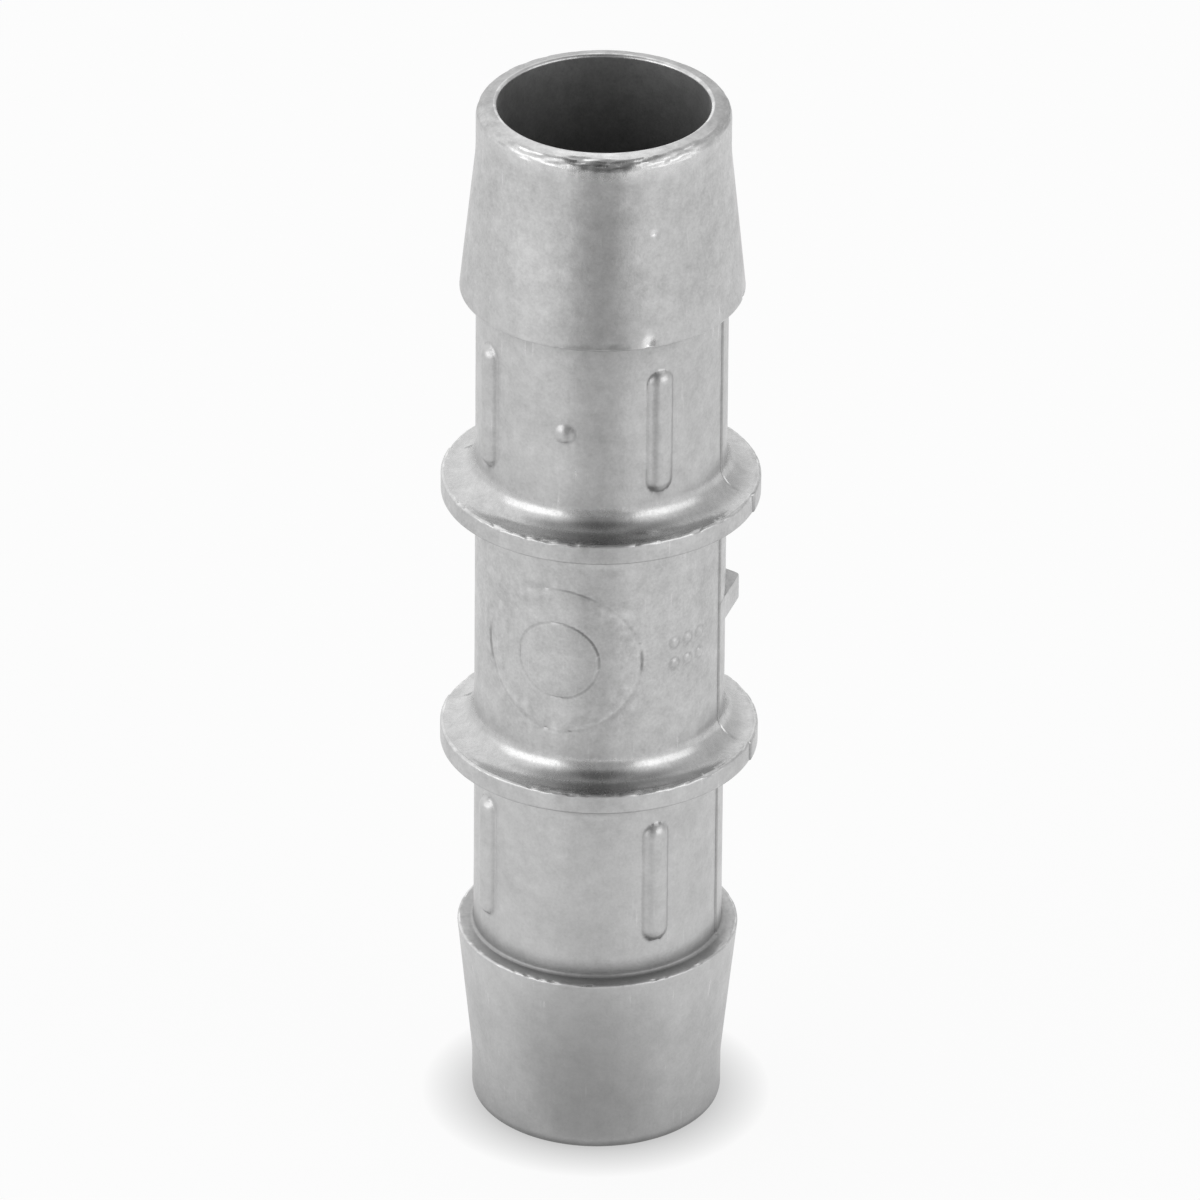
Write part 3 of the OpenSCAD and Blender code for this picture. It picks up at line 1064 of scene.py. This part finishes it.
def pale_floor():
    """A pale floor that shows white to the camera and in the metal, and keeps the shadow. Round the
    foot its glow is dimmed as a painted contact shadow.
    """
    material, nodes = new_material("pale_floor")
    path = nodes.add("ShaderNodeLightPath").outputs
    seen = nodes.maths("MAXIMUM", path["Is Camera Ray"], path["Is Glossy Ray"])
    seen = nodes.maths("MAXIMUM", seen, path["Is Transmission Ray"])
    share = nodes.maths("MULTIPLY", seen, FLOOR_GLOW)
    full, end, left = FLOOR_SHADE
    # A painted contact shadow: the glow dims round the foot
    painted_shadow = nodes.ranged(nodes.measure("LENGTH", nodes.place("Object")), full, end, left, 1.0)
    diffuse = nodes.add("ShaderNodeBsdfDiffuse", {"Color": (FLOOR_TONE, FLOOR_TONE, FLOOR_TONE, 1)})
    glow = nodes.add("ShaderNodeEmission", {"Color": (1, 1, 1, 1), "Strength": painted_shadow})
    mixed = nodes.add("ShaderNodeMixShader", {0: share, 1: diffuse.outputs[0], 2: glow.outputs[0]})
    nodes.add("ShaderNodeOutputMaterial", {"Surface": mixed.outputs[0]})
    return material


def grey_card(name, tone):
    """A plain grey card."""
    material, nodes = new_material(name)
    diffuse = nodes.add("ShaderNodeBsdfDiffuse", {"Color": (tone, tone, tone, 1)})
    nodes.add("ShaderNodeOutputMaterial", {"Surface": diffuse.outputs[0]})
    return material


def fading_card(name, middle):
    """A glowing card, dim in the middle and fading to the floor's white all round: a painted shadow
    that only the metal sees.
    """
    material, nodes = new_material(name)
    off = nodes.measure("DISTANCE", nodes.place("Object"), middle)
    level = nodes.ranged(off, *FLOOR_CARD_FADE)
    glow = nodes.add("ShaderNodeEmission", {"Color": (1, 1, 1, 1), "Strength": level})
    nodes.add("ShaderNodeOutputMaterial", {"Surface": glow.outputs[0]})
    return material


# The studio

def toward(azimuth, elevation):
    """Direction from the object to a place at that azimuth and elevation."""
    a, e = math.radians(azimuth), math.radians(elevation)
    return Vector((math.sin(a) * math.cos(e), -math.cos(a) * math.cos(e), math.sin(e)))


def add_object(name, data):
    thing = bpy.data.objects.new(name, data)
    bpy.context.scene.collection.objects.link(thing)
    return thing


def add_sheet(name, corners, material):
    """A flat sheet with four corners."""
    mesh = bpy.data.meshes.new(name)
    mesh.from_pydata([tuple(c) for c in corners], [], [(0, 1, 2, 3)])
    mesh.materials.append(material)
    return add_object(name, mesh)


def add_floor():
    half = FLOOR_HALF
    corners = ((-half, -half, 0), (half, -half, 0), (half, half, 0), (-half, half, 0))
    floor = add_sheet("floor", corners, pale_floor())


def add_card(name, corners, material):
    """A card that only the metal sees, where it puts painted shade into the reflections."""
    card = add_sheet(name, corners, material)
    card.visible_camera = False
    card.visible_diffuse = False
    card.visible_shadow = False


def add_cards():
    """Grey cards before the object, which put painted shade into the metal: a fading one and a strip
    on the floor, and three upright.
    """
    front = toward(VIEW_AZIMUTH, 0)
    side = toward(VIEW_AZIMUTH + 90, 0)
    up = Vector((0, 0, 1))
    lying = [[front * away + side * across + up * FLOOR_CARD_HEIGHT for away, across in corners]
             for corners in (FLOOR_CARD, FLOOR_STRIP)]
    middle = front * FLOOR_CARD_MIDDLE[0] + side * FLOOR_CARD_MIDDLE[1]
    add_card("floor_card", lying[0], fading_card("floor_card", middle))
    add_card("floor_strip", lying[1], grey_card("floor_strip", CARD_TONES[0]))
    left = CARD_SHIFT - CARD_WIDTH / 2
    right = CARD_SHIFT + CARD_WIDTH / 2
    for low, high, tone in zip(CARD_HEIGHTS[:-1], CARD_HEIGHTS[1:], CARD_TONES):
        places = ((left, low), (right, low), (right, high), (left, high))
        upright = [front * CARD_DISTANCE + side * across + up * height for across, height in places]
        name = f"upright_card_{tone}"
        add_card(name, upright, grey_card(name, tone))


def add_soft_box(name, azimuth, power):
    """A soft box that faces the object. The azimuth is from the camera, positive to its right."""
    light = bpy.data.lights.new(name, "AREA")
    light.shape = "RECTANGLE"
    light.size, light.size_y = SOFT_BOX_SIZE
    light.energy = power
    lamp = add_object(name, light)
    middle = Vector((0, 0, HALF_LENGTH * MM))
    direction = toward(VIEW_AZIMUTH + azimuth, SOFT_BOX_ELEVATION)
    lamp.location = middle + direction * SOFT_BOX_DISTANCE
    lamp.rotation_euler = direction.to_track_quat("Z", "Y").to_euler()
    lamp.visible_camera = False


def add_world():
    """Soft light all round, as in a light tent, with its three dimmer parts."""
    world = bpy.data.worlds.new("studio")
    bpy.context.scene.world = world
    world.use_nodes = True
    nodes = Nodes(world.node_tree)
    way = nodes.place("Generated")
    level_way = nodes.vector("NORMALIZE", nodes.vector("MULTIPLY", way, (1, 1, 0)))
    dimmer_parts = (
        (way, toward(VIEW_AZIMUTH, DIM_OVERHEAD_ELEVATION), DIM_OVERHEAD),
        (level_way, toward(VIEW_AZIMUTH, 0), DIM_FRONT),
        (level_way, toward(VIEW_AZIMUTH + DIM_BEHIND_AZIMUTH, 0), DIM_BEHIND),
    )
    strength = WORLD_LEVEL
    for looking, middle, (start, full, left) in dimmer_parts:
        cosine = nodes.measure("DOT_PRODUCT", looking, middle)
        strength = nodes.maths("MULTIPLY", nodes.ranged(cosine, start, full, 1.0, left), strength)
    background = nodes.add("ShaderNodeBackground", {"Color": (1, 1, 1, 1), "Strength": strength})
    nodes.add("ShaderNodeOutputWorld", {"Surface": background.outputs[0]})


def add_camera():
    camera = add_object("camera", bpy.data.cameras.new("camera"))
    direction = toward(VIEW_AZIMUTH, VIEW_ELEVATION)
    camera.location = Vector(VIEW_TARGET) + direction * VIEW_DISTANCE
    facing = direction.to_track_quat("Z", "Y")
    camera.rotation_mode = "QUATERNION"
    camera.rotation_quaternion = facing @ Quaternion((0, 0, 1), math.radians(VIEW_ROLL))
    camera.data.lens = VIEW_LENS
    camera.data.sensor_width = VIEW_SENSOR
    camera.data.clip_end = VIEW_REACH
    bpy.context.scene.camera = camera


coupler = add_object("cast_coupler", build_coupler())
coupler.data.materials.append(cast_steel())
normals = coupler.modifiers.new("even_shading", "WEIGHTED_NORMAL")
normals.keep_sharp = True
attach(coupler, "root")
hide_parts("coupler_body")

add_floor()
add_cards()
for box in SOFT_BOXES:
    add_soft_box(*box)
add_world()
add_camera()
bpy.context.scene.view_settings.view_transform = "Standard"
